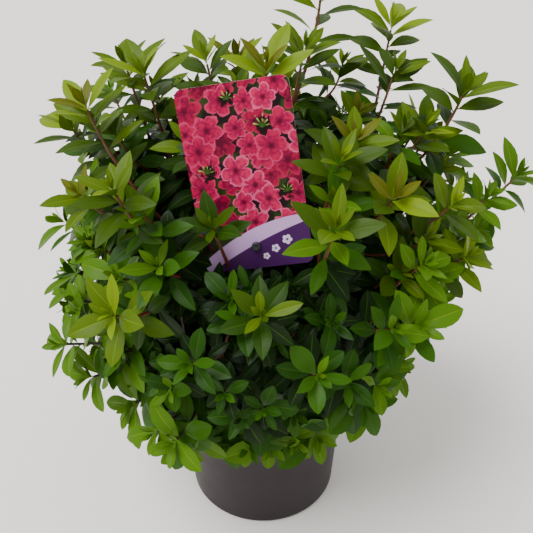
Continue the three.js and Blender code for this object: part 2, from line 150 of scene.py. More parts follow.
# Rings of a limb along a curve; rough(t, turn) makes its surface uneven
def limbMesh(curve, radiusAt, sides, steps, rough=None):
    chord = (curve[2] - curve[0]).normalized()
    helper = Vector((1, 0, 0)) if abs(chord.z) > 0.9 else up
    side = chord.cross(helper).normalized()
    vertices = []
    for i in range(steps + 1):
        t = i / steps
        tangent = alongCurve(curve, t)
        across = (side - tangent * side.dot(tangent)).normalized()
        over = tangent.cross(across)
        centre = onCurve(curve, t)
        for k in range(sides):
            turn = 2 * math.pi * k / sides
            radius = radiusAt(t) * (1 + (rough(t, turn) if rough else 0))
            aside = across * (radius * math.cos(turn))
            vertices.append(centre + aside + over * (radius * math.sin(turn)))
    faces = []
    for i in range(steps):
        for k in range(sides):
            n = (k + 1) % sides
            a = i * sides
            b = a + sides
            faces.append((a + k, a + n, b + n, b + k))
    return vertices, faces


# Shader maths

class Field:
    def __init__(self, tree, socket):
        self.tree = tree
        self.socket = socket

    def math(self, operation, *values):
        inputs = dict(enumerate(values))
        return shaderNode(self.tree, "ShaderNodeMath", {"operation": operation}, inputs)

    def __add__(self, other):
        return self.math("ADD", self, other)

    def __sub__(self, other):
        return self.math("SUBTRACT", self, other)

    def __rsub__(self, other):
        return self.math("SUBTRACT", other, self)

    def __mul__(self, other):
        return self.math("MULTIPLY", self, other)

    def __truediv__(self, other):
        return self.math("DIVIDE", self, other)

    def __pow__(self, other):
        return self.math("POWER", self, other)

    def __abs__(self):
        return self.math("ABSOLUTE", self)

    __radd__ = __add__
    __rmul__ = __mul__

    # 0 below the first edge and 1 above the second, or the other way round
    def ramp(self, start, end):
        settings = {"interpolation_type": "SMOOTHSTEP"}
        inputs = {"Value": self, "From Min": start, "From Max": end}
        return shaderNode(self.tree, "ShaderNodeMapRange", settings, inputs)

    # This field as the share of the second of two colours
    def colour(self, first, second):
        settings = {"data_type": "RGBA"}
        return shaderNode(self.tree, "ShaderNodeMix", settings, {0: self, 6: first, 7: second}, 2)


def shaderNode(tree, kind, settings, inputs, output=0):
    node = tree.nodes.new(kind)
    for name, value in settings.items():
        setattr(node, name, value)
    for name, value in inputs.items():
        if isinstance(value, Field):
            tree.links.new(value.socket, node.inputs[name])
        else:
            node.inputs[name].default_value = value
    return Field(tree, node.outputs[output])


def linear(hexColour):
    channels = [int(hexColour[i:i + 2], 16) / 255 for i in (1, 3, 5)]
    return tuple(c / 12.92 if c < 0.04045 else ((c + 0.055) / 1.055) ** 2.4 for c in channels) + (1,)


def newMaterial(name, colour, roughness, **settings):
    material = bpy.data.materials.new(name)
    material.use_nodes = True
    shader = material.node_tree.nodes["Principled BSDF"]
    shader.inputs["Base Color"].default_value = linear(colour)
    shader.inputs["Roughness"].default_value = roughness
    for socket, value in settings.items():
        shader.inputs[socket.replace("_", " ")].default_value = value
    return material


def mainShader(material):
    return material.node_tree.nodes["Principled BSDF"]


def link(material, field, socket):
    material.node_tree.links.new(field.socket, mainShader(material).inputs[socket])


def objectCoordinate(material):
    return shaderNode(material.node_tree, "ShaderNodeTexCoord", {}, {}, "Object")


def noise(material, scale, detail=4.0):
    inputs = {"Vector": objectCoordinate(material), "Scale": scale, "Detail": detail}
    return shaderNode(material.node_tree, "ShaderNodeTexNoise", {}, inputs)


def bump(material, height, strength, distance):
    inputs = {"Height": height, "Strength": strength, "Distance": distance}
    link(material, shaderNode(material.node_tree, "ShaderNodeBump", {}, inputs), "Normal")


# Camera, floor and light

view = {
    "place": (0.0036, -0.5447, 0.5928),
    "pitch": 58.5,
    "lens": 47.28,
    "floorSize": 9,
    "floorColour": "#efece6",
    "world": (0.84, 0.84, 0.84, 1),
    "worldStrength": 1.3,
    "keyPlace": Vector((-1.1, -0.7, 2.2)),
    "keyAngle": 38,
    "keyPower": 3.8,
}
cameraData = bpy.data.cameras.new("camera")
cameraData.lens = view["lens"]
cameraData.sensor_width = 36
camera = bpy.data.objects.new("camera", cameraData)
camera.location = view["place"]
camera.rotation_euler = (math.radians(view["pitch"]), 0, 0)
bpy.context.scene.collection.objects.link(camera)
bpy.context.scene.camera = camera

half = view["floorSize"] / 2
floorMaterial = newMaterial("floor", view["floorColour"], 0.8)
floorCorners = [(-half, -half, 0), (half, -half, 0), (half, half, 0), (-half, half, 0)]
meshObject("floor", floorCorners, [(0, 1, 2, 3)], floorMaterial)

world = bpy.data.worlds.new("studio")
world.use_nodes = True
world.node_tree.nodes["Background"].inputs["Color"].default_value = view["world"]
world.node_tree.nodes["Background"].inputs["Strength"].default_value = view["worldStrength"]
bpy.context.scene.world = world
light = bpy.data.lights.new("key", "SUN")
light.angle = math.radians(view["keyAngle"])
light.energy = view["keyPower"]
key = bpy.data.objects.new("key", light)
key.location = view["keyPlace"]
key.rotation_euler = (-view["keyPlace"]).to_track_quat("-Z", "Y").to_euler()
bpy.context.scene.collection.objects.link(key)
print("stage set")


# The label's place

card = {
    "width": 0.082,
    "height": 0.137,
    "thickness": 0.0008,
    "corner": 0.006,
    "centre": Vector((-0.0116, -0.080, 0.3825)),
    "lean": 12.2,
    "yaw": -6.3,
    "roll": 10.1,
    "pegDrop": 0.0515,
    "ink": 0.0001,  # thickness of the printed layer
    "colour": "#e6e2de",
}
stake = {"foot": Vector((0.008, -0.064, 0.056)), "room": 0.006}
parting = {
    "side": 0.003,
    "back": 0.002,
    "depth": 0.150,
    "lowRise": 0.34,
    "highRise": 0.1,
    "tipRoom": 0.014,
    "tipStep": 0.004,
}
cardFrame = (
    Matrix.Translation(card["centre"])
    @ Matrix.Rotation(math.radians(card["yaw"]), 4, "Z")
    @ Matrix.Rotation(-math.radians(card["lean"]), 4, "X")
    @ Matrix.Rotation(-math.radians(card["roll"]), 4, "Y")
)
cardFrameBack = cardFrame.inverted()
pegPlace = cardFrame @ Vector((0, 0, -card["pegDrop"]))


# True in the space before the card that is kept free of leaves, and at the card itself
def inParting(point, margin):
    local = cardFrameBack @ point
    forward = -local.y
    if abs(local.x) > card["width"] / 2 + parting["side"] + margin:
        return False
    low = -card["height"] / 2 - margin + max(forward, 0) * parting["lowRise"]
    high = card["height"] / 2 + margin + max(forward, 0) * parting["highRise"]
    return low < local.z < high and -parting["back"] - margin < forward < parting["depth"]


# The crown's skeleton, by the part's rule

pot = {
    "height": 0.124,
    "footRadius": 0.075,
    "footRound": 0.005,
    "shoulderRadius": 0.0796,
    "shoulderHeight": 0.092,
    "collarRadius": 0.085,
    "collarHeight": 0.104,
    "wall": 0.0024,
    "lip": 0.0011,
    "floor": 0.003,
    "facets": 144,
    "colour": "#22191c",
}
compostTop = 0.112
trunk = {
    "top": 0.186,
    "lean": 0.003,
    "flareRadius": 0.012,
    "flareHeight": 0.012,
    "radius": 0.008,
    "topRadius": 0.006,
}
bough = {"share": 0.42, "rootRadius": 0.0031, "tipRadius": 0.002, "sag": 0.007, "stagger": 0.005}
crown = {
    "heart": 0.200,
    "top": 0.488,
    "widest": 0.290,
    "hem": 0.112,
    "radius": 0.190,
    "shoulderPower": 2.3,
    "hemPower": 2.3,
    "lowestPolar": 141,
}
tiers = [
    {"name": "crest", "count": 1, "polar": 0, "turn": 0, "forkHeight": trunk["top"]},
    {"name": "upper", "count": 5, "polar": 38, "turn": 18, "forkHeight": 0.165},
    {"name": "middle", "count": 7, "polar": 69, "turn": 262, "forkHeight": 0.152},
    {"name": "skirt", "count": 6, "polar": 100, "turn": 288, "forkHeight": 0.138},
]
shoots = {
    "count": 104,
    "hemShare": 1.3,
    "seed": 9,
    "turnUneven": 0.3,
    "uneven": 0.45,
    "lowTopTo": 0.035,
    "leftFrom": -0.1,
    "leftTop": 0.432,
    "topRise": 0.24,
    "mostRise": 0.018,
    "topFall": 0.35,
    "stemShare": 0.14,
    "stemFrom": 0.3,
    "stemSpan": 0.66,
    "stemRadius": 0.0018,
    "stemTipRadius": 0.0013,
    "bend": 0.5,
    "hemLean": 112,
    "leanPower": 1.1,
}
corners = {"front": 0.06, "top": 0.32, "fade": 0.06, "draw": 0.25, "lift": 0.018, "leftHem": 0.2}
leaders = [
    {"azimuth": 2, "radius": 0.216, "height": 0.342},
    {"azimuth": 353, "radius": 0.155, "height": 0.424},
    {"azimuth": 38.5, "radius": 0.1445, "height": 0.448},
    {"azimuth": 40, "radius": 0.062, "height": 0.508},
    {"azimuth": 178, "radius": 0.156, "height": 0.388},
    {"azimuth": 164, "radius": 0.116, "height": 0.430},
]
heart = Vector((0, 0, crown["heart"]))


def skinRadius(z):
    above = z > crown["widest"]
    span = crown["top"] - crown["widest"] if above else crown["widest"] - crown["hem"]
    share = abs(z - crown["widest"]) / span
    power = crown["shoulderPower"] if above else crown["hemPower"]
    return 0 if share >= 1 else crown["radius"] * math.sqrt(1 - share**power)


# How far the skin lies from a height on the axis, along a polar angle from the vertical
def skinReach(height, polar):
    near = 0
    far = 2 * crown["radius"]
    for _ in range(40):
        middle = (near + far) / 2
        if middle * math.sin(polar) < skinRadius(height + middle * math.cos(polar)):
            near = middle
        else:
            far = middle
    return near


def lownessOf(height):
    return min(max((crown["top"] - height) / (crown["top"] - crown["hem"]), 0), 1)


def tipDirection(tip):
    lean = math.radians(shoots["hemLean"] * lownessOf(tip.z) ** shoots["leanPower"])
    return pointAt(math.sin(lean), math.atan2(tip.y, tip.x), math.cos(lean))


# The crown's top is lower on its left and behind, and its front corners draw in below the card
def shaped(tip):
    if tip.x < shoots["lowTopTo"]:
        rise = min(max(shoots["topRise"] * (tip.x - shoots["leftFrom"]), 0), shoots["mostRise"])
        fall = shoots["topFall"] * max(tip.y, 0)
        tip.z = min(tip.z, shoots["leftTop"] + rise - fall)
    forward = min(max(-tip.y / corners["front"], 0), 1)
    down = min(max((corners["top"] - tip.z) / corners["fade"], 0), 1)
    right = tip.x > 0
    if right or tip.z > corners["leftHem"]:
        tip.x *= 1 - corners["draw"] * forward * down
    if right:
        tip.z += corners["lift"] * forward * down
    return tip


# Moves a tip out of the card's space: back where it is high, down where it is low
def besideCard(tip):
    high = tip.z > card["centre"].z
    while inParting(tip, parting["tipRoom"]):
        if high:
            tip.y += parting["tipStep"]
        else:
            tip.z -= parting["tipStep"]
    return tip


def shootTips():
    stream = seeded(shoots["seed"])
    steps = 90
    rows = []
    area = 0
    for i in range(steps + 1):
        polar = math.radians(crown["lowestPolar"]) * i / steps
        reach = skinReach(crown["widest"], polar)
        radius = reach * math.sin(polar)
        height = crown["widest"] + reach * math.cos(polar)
        if rows:
            length = math.hypot(radius - rows[-1][0], height - rows[-1][1])
            lowness = (crown["top"] - height) / (crown["top"] - crown["hem"])
            area += math.pi * (radius + rows[-1][0]) * length * (1 + shoots["hemShare"] * lowness)
        rows.append((radius, height, area))
    tips = []
    for k in range(shoots["count"]):
        target = area * (k + 0.5) / shoots["count"]
        i = next(i for i, row in enumerate(rows) if row[2] >= target)
        before = rows[i - 1]
        after = rows[i]
        t = (target - before[2]) / (after[2] - before[2])
        azimuth = k * goldenTurn + shoots["turnUneven"] * (next(stream) - 0.5)
        full = pointAt(mixed(before[0], after[0], t), azimuth, mixed(before[1], after[1], t))
        depth = 1 - shoots["uneven"] * next(stream) ** 2
        tip = (full - heart) * depth + heart
        tips.append(besideCard(shaped(tip)))
    return tips + [pointAt(l["radius"], math.radians(l["azimuth"]), l["height"]) for l in leaders]


trunkBase = Vector((0, 0, compostTop + seat))
trunkTip = Vector((trunk["lean"], 0, trunk["top"]))
trunkLine = (trunkBase, Vector((0, 0, (trunkBase.z + trunkTip.z) / 2)), trunkTip)


def layOutMasses():
    masses = []
    for tier in tiers:
        for i in range(tier["count"]):
            azimuth = math.radians(tier["turn"] + 360 * i / tier["count"])
            polar = math.radians(tier["polar"])
            direction = pointAt(math.sin(polar), azimuth, math.cos(polar))
            reach = skinReach(crown["heart"], polar)
            forkHeight = tier["forkHeight"] + bough["stagger"] * (i % 2)
            start = onCurve(trunkLine, (forkHeight - compostTop) / (trunk["top"] - compostTop))
            end = heart + direction * (bough["share"] * reach)
            sag = bough["sag"] if tier["polar"] else 0
            name = f"{tier['name']}_{i + 1}" if tier["count"] > 1 else tier["name"]
            curve = (start, (start + end) / 2 + pointAt(sag, azimuth, -sag), end)
            masses.append({
                "name": name,
                "direction": direction,
                "reach": reach,
                "curve": curve,
                "tips": [],
            })
    # The crest's bough carries the trunk's own line on
    first = onCurve(trunkLine, 1) + alongCurve(trunkLine, 1) * seat
    second = first + alongCurve(trunkLine, 1) * bough["sag"]
    masses[0]["curve"] = (first, second, masses[0]["curve"][2])
    for tip in shootTips():
        nearest = max(masses, key=lambda mass: mass["direction"].dot(tip - heart))
        nearest["tips"].append(tip)
    return masses


def stemCurve(mass):
    heading = alongCurve(mass["curve"], 1)
    start = onCurve(mass["curve"], 1) + heading * seat
    end = start + mass["direction"] * (shoots["stemShare"] * mass["reach"])
    return (start, start + heading * ((end - start).length / 2), end)


def shootCurve(root, tip):
    return (root, tip - tipDirection(tip) * (shoots["bend"] * (tip - root).length), tip)


masses = layOutMasses()
massNames = [mass["name"] for mass in masses]


# Finer shoots than the part's

fine = {
    "sides": ((0.37, 1), (0.31, 2), (0, 3)),  # how many side shoots above each height
    "innerBelow": 0.35,
    "sideFrom": 0.2,
    "sideStep": 0.18,
    "stepUneven": 0.05,
    "turnUneven": 0.5,
    "sideLength": 0.058,
    "sideUneven": (0.75, 1.3),
    "highSide": 1.35,
    "sideSpread": 46,
    "spreadUneven": (0.75, 1.25),
    "inner": 15,
    "innerSpread": 64,
    "innerUneven": 0.4,
    "innerReach": ((0.45, 0.76), (0.45, 0.76), (0.22, 0.48)),
    "innerFrom": (0.55, 1),
    "skinShare": 1.0,
    "rightShare": 0.86,
    "rightBelow": 0.3,
    "sideTop": 0.445,
    "seed": 4099,
    "highFrom": 0.3,
    "potRoom": 0.008,
    "cardRoom": 0.01,
    "cornerTip": Vector((-0.034, -0.115, 0.359)),
    "cornerRoot": Vector((-0.014, -0.078, 0.268)),
    "cornerSpray": 0.4,
    "rowAcross": (-0.06, -0.046, -0.032, -0.018, -0.004, 0.012, 0.03, 0.05),
    "rowTip": Vector((0, -0.116, 0.307)),
    "rowRoot": Vector((0, -0.06, 0.225)),
    "rowUneven": 0.006,
    "rowStep": 0.016,
    "rowDraw": 0.6,
    "rimTurns": (-38, -27, -17, -6, 4, 15, 27),
    "rimTip": (0.1, 0.139),
    "rimRoot": (0.05, 0.165),
    "rimUneven": 0.005,
    "rimSeed": 40,
    "rimSpray": (0.55, 1.1),
    "footCover": 0.003,
    "cardSide": 1.04,
    "cardEnd": 0.002,
    "cardDepth": 0.004,
    "leftCorner": 1.3,
    "rightCorner": 1.7,
    "mainRadius": 0.0019,
    "sideRadius": 0.0012,
    "tipRadius": 0.001,
}
# The lowest heights of shoots and of leaves, which rise towards the front
hem = {"shoots": 0.118, "leaves": 0.096, "lowest": 0.075, "from": -0.1, "slope": 1.08}


def hemAt(point, kind):
    return hem[kind] + hem["slope"] * (hem["from"] - point.y)


def inPot(point, margin):
    within = math.hypot(point.x, point.y) < pot["collarRadius"] + margin
    return within and point.z < pot["height"] + margin


skinTable = [skinReach(crown["heart"], math.radians(degree)) for degree in range(181)]


# The distance from the heart as a share of the skin's
def skinShare(point):
    away = point - heart
    return away.length / skinTable[round(math.degrees(away.angle(up)))]


# True where a leaf would go through the card, or hide more of it than the leaves at its foot do
def atCard(point, kind):
    local = cardFrameBack @ point
    forward = -local.y
    across = local.x / (card["width"] / 2)
    down = -(local.z - max(forward, 0) * parting["lowRise"]) / (card["height"] / 2)
    beside = abs(across) > fine["cardSide"] or abs(local.z) > card["height"] / 2 + fine["cardEnd"]
    if abs(forward) < fine["cardDepth"] and not beside:
        return True
    if kind == "corner":
        return False
    atCorner = down - across > fine["leftCorner"] or down + across > fine["rightCorner"]
    return inParting(point, -fine["footCover"]) and not atCorner


def atStake(point):
    rail = pegPlace - stake["foot"]
    along = min(max((point - stake["foot"]).dot(rail) / rail.length_squared, 0), 1)
    return (point - stake["foot"] - rail * along).length < stake["room"]


# The axis leaned outwards by spread, at a turn about itself, and the side it leans to
def turned(axis, spread, turn):
    side = axis.cross(Vector((0.31, 0.2, 0.93))).normalized()
    outward = side * math.cos(turn) + axis.cross(side) * math.sin(turn)
    return axis * math.cos(spread) + outward * math.sin(spread), outward


def sideShoots(parent, index, stream):
    found = []
    start = mixed(fine["highFrom"], fine["sideFrom"], lownessOf(parent[2].z))
    for k in range(next(count for above, count in fine["sides"] if parent[2].z > above)):
        t = start + fine["sideStep"] * k + jitter(stream, fine["stepUneven"])
        turn = goldenTurn * (k + index) + jitter(stream, fine["turnUneven"])
        spread = math.radians(fine["sideSpread"] * between(stream, *fine["spreadUneven"]))
        root = onCurve(parent, t)
        length = fine["sideLength"] * mixed(fine["highSide"], 1, lownessOf(root.z))
        length *= between(stream, *fine["sideUneven"])
        end = root + turned(alongCurve(parent, t), spread, turn)[0] * length
        found.append(shootCurve(root, end))
    return found


# Short shoots that fill the crown from within
def innerShoots(mass, stream):
    found = []
    for k in range(fine["inner"]):
        spread = math.radians(fine["innerSpread"]) * math.sqrt((k + 0.5) / fine["inner"])
        turn = goldenTurn * k + jitter(stream, fine["innerUneven"])
        direction = turned(mass["direction"], spread, turn)[0]
        nearest, furthest = fine["innerReach"][k % 3]
        reach = skinReach(crown["heart"], direction.angle(up)) * between(stream, nearest, furthest)
        end = heart + direction * reach
        root = onCurve(mass["curve"], between(stream, *fine["innerFrom"]))
        found.append(shootCurve(root, end))
    return found


# True where a finer shoot may end
def isFree(end):
    if not hemAt(end, "shoots") < end.z < fine["sideTop"]:
        return False
    lowRight = end.x > 0 and end.z < fine["rightBelow"]
    furthest = fine["rightShare"] if lowRight else fine["skinShare"]
    if inPot(end, fine["potRoom"]) or inParting(end, fine["cardRoom"]):
        return False
    return skinShare(end) <= furthest


def shootOf(curve, kind, spray, stream):
    return {"curve": curve, "kind": kind, "spray": spray, "stream": stream}


def growShoots():
    grown = []
    count = 0
    for mass in masses:
        stem = stemCurve(mass)
        for index, tip in enumerate(mass["tips"]):
            count += 1
            stream = seeded(fine["seed"] * count)
            share = index / (len(mass["tips"]) - 1) if len(mass["tips"]) > 1 else 1
            curve = shootCurve(onCurve(stem, shoots["stemFrom"] + shoots["stemSpan"] * share), tip)
            spray = next(stream)
            grown.append(shootOf(curve, "main", spray, stream))
            for side in sideShoots(curve, index, stream):
                if isFree(side[2]):
                    grown.append(shootOf(side, "side", spray, stream))
        stream = seeded(fine["seed"] * (count + 500))
        for inner in innerShoots(mass, stream):
            if isFree(inner[2]) and inner[2].z < fine["innerBelow"]:
                grown.append(shootOf(inner, "inner", next(stream), stream))
    # One shoot stands before the card's lower left corner
    corner = shootCurve(fine["cornerRoot"], fine["cornerTip"])
    grown.append(shootOf(corner, "corner", fine["cornerSpray"], seeded(fine["seed"])))
    # A row of short ones hides the stake below it
    for k, across in enumerate(fine["rowAcross"]):
        stream = seeded(fine["seed"] + k)
        front = fine["rowTip"].y + jitter(stream, 1) * fine["rowUneven"]
        tip = Vector((across, front, fine["rowTip"].z - fine["rowStep"] * (k % 2)))
        root = Vector((across * fine["rowDraw"], fine["rowRoot"].y, fine["rowRoot"].z))
        grown.append(shootOf(shootCurve(root, tip), "inner", next(stream), stream))
    # Others hang over the front of the pot's rim
    for k, turn in enumerate(fine["rimTurns"]):
        stream = seeded(fine["seed"] + fine["rimSeed"] + k)
        azimuth = math.radians(turn - 90)
        reach, height = fine["rimTip"]
        tip = pointAt(reach, azimuth, height + jitter(stream, fine["rimUneven"]))
        start, startHeight = fine["rimRoot"]
        rim = shootCurve(pointAt(start, azimuth, startHeight), tip)
        grown.append(shootOf(rim, "side", between(stream, *fine["rimSpray"]), stream))
    return grown


# Leaves

leafForm = {
    "rows": np.array((0, 0.07, 0.2, 0.36, 0.52, 0.68, 0.82, 0.93, 1)),
    "upper": np.array((0.05, 0.1, 0.5, 0.85, 1, 0.88, 0.6, 0.28, 0.02)),
    "lower": np.array((0.05, 0.1, 0.42, 0.77, 0.97, 0.98, 0.78, 0.42, 0.03)),
    "columns": np.array((-1, -0.5, -0.045, 0.045, 0.5, 1)),
    "fold": 0.34,
    "curl": 0.2,
}
# Leaves are counted back from a shoot's end. They stand on its end in a whorl, then further
# apart, and small ones stand above them as an opening bud.
leafGrowth = {
    "whorl": 6,
    "whorlGap": 0.003,
    "leaves": 13,
    "gap": 0.0065,
    "innerGap": 0.0082,
    "most": {"main": 24, "side": 13, "inner": 11, "corner": 6},
    "bareTo": 0.12,
    "oldest": 18,
    "length": {"main": 0.039, "side": 0.036, "inner": 0.031, "corner": 0.034},
    "lengthAt": ((0, 0.1, 0.22, 0.4, 0.65, 0.8, 1), (1.14, 1.06, 0.96, 0.92, 0.88, 1.0, 1.15)),
    "sprayUneven": (0.88, 1.12),
    "lengthUneven": (0.84, 1.12),
    "widthUneven": (0.9, 1.1),
    "shortPlace": Vector((0.0, -0.13, 0.265)),
    "shortReach": 0.12,
    "shortEdge": 1.6,
    "shortShare": 0.28,
    "lowPower": 0.7,
    "opening": (30, 54),
    "openingRate": 2.4,
    "openingUneven": 8,
    "turnUneven": 0.3,
    "lowOpening": 1.7,
    "bend": (0.25, 0.85),
    "budBend": (0.05, 0.35),
    "widthShare": 0.28,
    "lowWidthShare": 0.51,
    "roundFrom": 0.62,
    "roundUneven": 0.15,
    "buds": 6,
    "budStep": 0.0012,
    "budLength": (0.3, 0.4, 0.5, 0.6, 0.7, 0.8),
    "budSpread": (7, 14, 21, 28, 35, 42),
    "budWidth": 0.82,
    "highLight": Vector((-0.15, -0.95, 0.45)),
    "lowLight": Vector((-0.3, -0.55, 0.85)),
    "roll": 0.4,
    "potRoom": 0.002,
}
leafFinish = {"sheen": 0.12, "rough": 0.26, "roughSpan": 0.3, "bump": 0.3, "glow": 0.16}
# What makes a leaf darker: its age and its shoot, and painted shade for its depth in the crown, its
# lowness and the card above it
darkening = {
    "bud": 0.3,
    "leaf": 0.6,
    "age": 2.6,
    "skin": 0.92,
    "depthSpan": 0.4,
    "lowDepth": 0.9,
    "low": 1.3,
    "less": 0.15,
    "spray": 1.5,
    "uneven": 0.5,
    "finer": 0.35,
    "shadeUnderCard": 2.6,
    "crownLowShade": 0.9,
    "skirtLess": 1.5,
    "skirtFrom": 0.51,
    "skirtUneven": 0.3,
}
crownTones = {
    "young": "#6a8208",
    "bright": "#4c6406",
    "middle": "#344c05",
    "dark": "#233e05",
    "deep": "#122704",
}
skirtTones = {"fresh": "#456a04", "green": "#2d5303", "dusky": "#1d3f03", "gloom": "#0e2303"}
bronze = {"share": 0.22, "highest": 0.45, "colour": "#5a5d10"}
ribTones = {"rib_pale": "#627a14", "rib_green": "#34520c"}
ribs = {
    "rib_pale": ("young", "bright", "bronze", "fresh"),
    "rib_green": ("middle", "dark", "deep", "green", "dusky", "gloom"),
}
toneColours = crownTones | skirtTones | ribTones | {"bronze": bronze["colour"]}
ribOf = {tone: rib for rib, owners in ribs.items() for tone in owners}


# Corners of a leaf from its root: across, along and upward, its tip bent down
def leafCorners(form, length, width, bend):
    rows = leafForm["rows"]
    step = np.diff(rows) * length
    angle = bend * (rows[1:] + rows[:-1]) / 2
    along = np.concatenate(([0], np.cumsum(step * np.cos(angle))))
    down = np.concatenate(([0], np.cumsum(step * np.sin(angle))))
    half = leafForm[form] * width / 2
    columns = leafForm["columns"]
    x = np.outer(half, columns)
    lift = np.outer(half, leafForm["fold"] * np.abs(columns) - leafForm["curl"] * columns**2)
    return np.stack([x, along[:, None] + 0 * x, lift - down[:, None]], -1)


def gridFaces(rows, columns, skipped=None):
    faces = []
    for i in range(rows - 1):
        for k in range(columns - 1):
            a = i * columns + k
            if k != skipped:
                faces.append((a, a + 1, a + 1 + columns, a + columns))
    return faces


ribColumn = 2
bladeFaces = gridFaces(len(leafForm["rows"]), len(leafForm["columns"]), ribColumn)
ribFaces = gridFaces(len(leafForm["rows"]), 2)


def addLeaf(heaps, tone, root, along, face, corners):
    across = along.cross(face).normalized()
    basis = np.array([across, along, across.cross(along)])
    placed = corners @ basis + np.array(root)
    heaps[tone].add(placed.reshape(-1, 3), bladeFaces)
    heaps[ribOf[tone]].add(placed[:, ribColumn:ribColumn + 2].reshape(-1, 3), ribFaces)


# From 0 away from the front of the crown under the card to 1 there
def nearCardFoot(root):
    nearness = 1 - (root - leafGrowth["shortPlace"]).length / leafGrowth["shortReach"]
    return min(max(nearness * leafGrowth["shortEdge"], 0), 1)


def isBlocked(point, kind):
    if point.z < max(hem["lowest"], hemAt(point, "leaves")):
        return True
    return inPot(point, leafGrowth["potRoom"]) or atCard(point, kind) or atStake(point)


def lengthShare(root):
    share = np.interp(lownessOf(root.z), *leafGrowth["lengthAt"])
    return share * (1 - leafGrowth["shortShare"] * nearCardFoot(root))


def toneAt(tones, mark):
    return list(tones)[int(min(max(mark, 0), len(tones) - 1))]


def toneOf(age, shoot, low, root, stream):
    spray = shoot["spray"] - 0.5
    depth = min(max((darkening["skin"] - skinShare(root)) / darkening["depthSpan"], 0), 1)
    mark = darkening["leaf"] + darkening["age"] * age if age > 0 else darkening["bud"]
    # Painted shade: leaves deep inside the crown are darker, the more so low down
    mark += (1 + darkening["lowDepth"] * low) * depth
    # Painted shade: lower leaves are darker
    mark += darkening["low"] * low - darkening["less"]
    mark += darkening["spray"] * spray + jitter(stream, darkening["uneven"])
    if shoot["kind"] != "main":
        mark += darkening["finer"]
    # Painted shade: leaves under the card's foot are darker
    mark += darkening["shadeUnderCard"] * nearCardFoot(root)
    if age == 0 and low < bronze["highest"] and shoot["spray"] < bronze["share"]:
        return "bronze"
    # Crown leaves get more painted shade low down
    if low + darkening["skirtUneven"] * spray < darkening["skirtFrom"]:
        return toneAt(crownTones, mark + darkening["crownLowShade"] * low)
    return toneAt(skirtTones, mark - darkening["skirtLess"])


def gapBefore(j):
    if j < leafGrowth["whorl"]:
        return leafGrowth["whorlGap"]
    return leafGrowth["gap"] if j < leafGrowth["leaves"] else leafGrowth["innerGap"]


def growLeaves(shoot, heaps):
    curve = shoot["curve"]
    stream = shoot["stream"]
    total = curveLength(curve)
    size = between(stream, *leafGrowth["sprayUneven"])
    first = between(stream, 0, 2 * math.pi)
    back = 0
    for j in range(-leafGrowth["buds"], leafGrowth["most"][shoot["kind"]]):
        bud = leafGrowth["buds"] + j if j < 0 else None
        if j > 0:
            back += gapBefore(j)
        age = 0 if j < 0 else (j + 1) / leafGrowth["oldest"]
        t = 1 - back / total
        if t < leafGrowth["bareTo"]:
            break
        tangent = alongCurve(curve, t)
        root = onCurve(curve, t)
        if j < 0:
            root += tangent * (leafGrowth["budStep"] * -j)
        low = lownessOf(root.z) ** leafGrowth["lowPower"]
        if j < 0:
            opening = leafGrowth["budSpread"][bud]
        else:
            opening = mixed(*leafGrowth["opening"], min(age * leafGrowth["openingRate"], 1))
        opening *= mixed(1, leafGrowth["lowOpening"], low)
        spread = math.radians(opening + jitter(stream, leafGrowth["openingUneven"]))
        turn = first + goldenTurn * j + jitter(stream, leafGrowth["turnUneven"])
        along, outward = turned(tangent, spread, turn)
        stemward = tangent * math.sin(spread) - outward * math.cos(spread)
        face = stemward + mixed(leafGrowth["highLight"], leafGrowth["lowLight"], low)
        face += along.cross(stemward) * jitter(stream, 1) * leafGrowth["roll"]
        length = leafGrowth["length"][shoot["kind"]] * lengthShare(root) * size
        length *= between(stream, *leafGrowth["lengthUneven"])
        width = length * mixed(leafGrowth["widthShare"], leafGrowth["lowWidthShare"], low)
        width *= between(stream, *leafGrowth["widthUneven"])
        if j < 0:
            length *= leafGrowth["budLength"][bud]
            width *= leafGrowth["budLength"][bud] * leafGrowth["budWidth"]
        bend = between(stream, *leafGrowth["budBend" if j < 0 else "bend"])
        if any(isBlocked(root + along * (length * share), shoot["kind"]) for share in (0.96, 0.5)):
            continue
        roundness = low + jitter(stream, leafGrowth["roundUneven"])
        form = "lower" if roundness > leafGrowth["roundFrom"] else "upper"
        corners = leafCorners(form, length, width, bend)
        addLeaf(heaps, toneOf(age, shoot, low, root, stream), root, along, face, corners)


def leafMaterial(tone):
    sheen = leafFinish["sheen"]
    material = newMaterial(f"leaf_{tone}", toneColours[tone], 0.42, Specular_IOR_Level=sheen)
    tree = material.node_tree
    rough = noise(material, 160, 3) * leafFinish["roughSpan"] + leafFinish["rough"]
    link(material, rough, "Roughness")
    bump(material, noise(material, 520, 2), leafFinish["bump"], 0.0005)
    glow = shaderNode(tree, "ShaderNodeBsdfTranslucent", {}, {"Color": linear(toneColours[tone])})
    surface = Field(tree, mainShader(material).outputs[0])
    shares = {"Fac": leafFinish["glow"], 1: surface, 2: glow}
    mix = shaderNode(tree, "ShaderNodeMixShader", {}, shares)
    tree.links.new(mix.socket, tree.nodes["Material Output"].inputs["Surface"])
    return material


grownShoots = growShoots()
heaps = {name: Heap() for name in toneColours}
for shoot in grownShoots:
    growLeaves(shoot, heaps)
foliageNodes = [f"foliage_{name}" for name in massNames]
for tone, heap in heaps.items():
    place(heap.build(f"leaves_{tone}", leafMaterial(tone)), "foliage", *foliageNodes)
leafCounts = {tone: len(heap.vertices) for tone, heap in heaps.items()}
print("leaves", leafCounts, "on", len(grownShoots), "shoots")


# Twigs: older wood is brown, the outer part of a new shoot olive, and both are dark in the shade

# Pairs give sides and steps
twigs = {"change": 0.74, "shadeBelow": 0.26, "inner": (6, 6), "outer": (6, 4), "stem": (8, 5)}
twigColours = {"brown": "#62260c", "olive": "#5a3814", "shade": "#2a1e10"}
twigHeaps = {name: Heap() for name in twigColours}


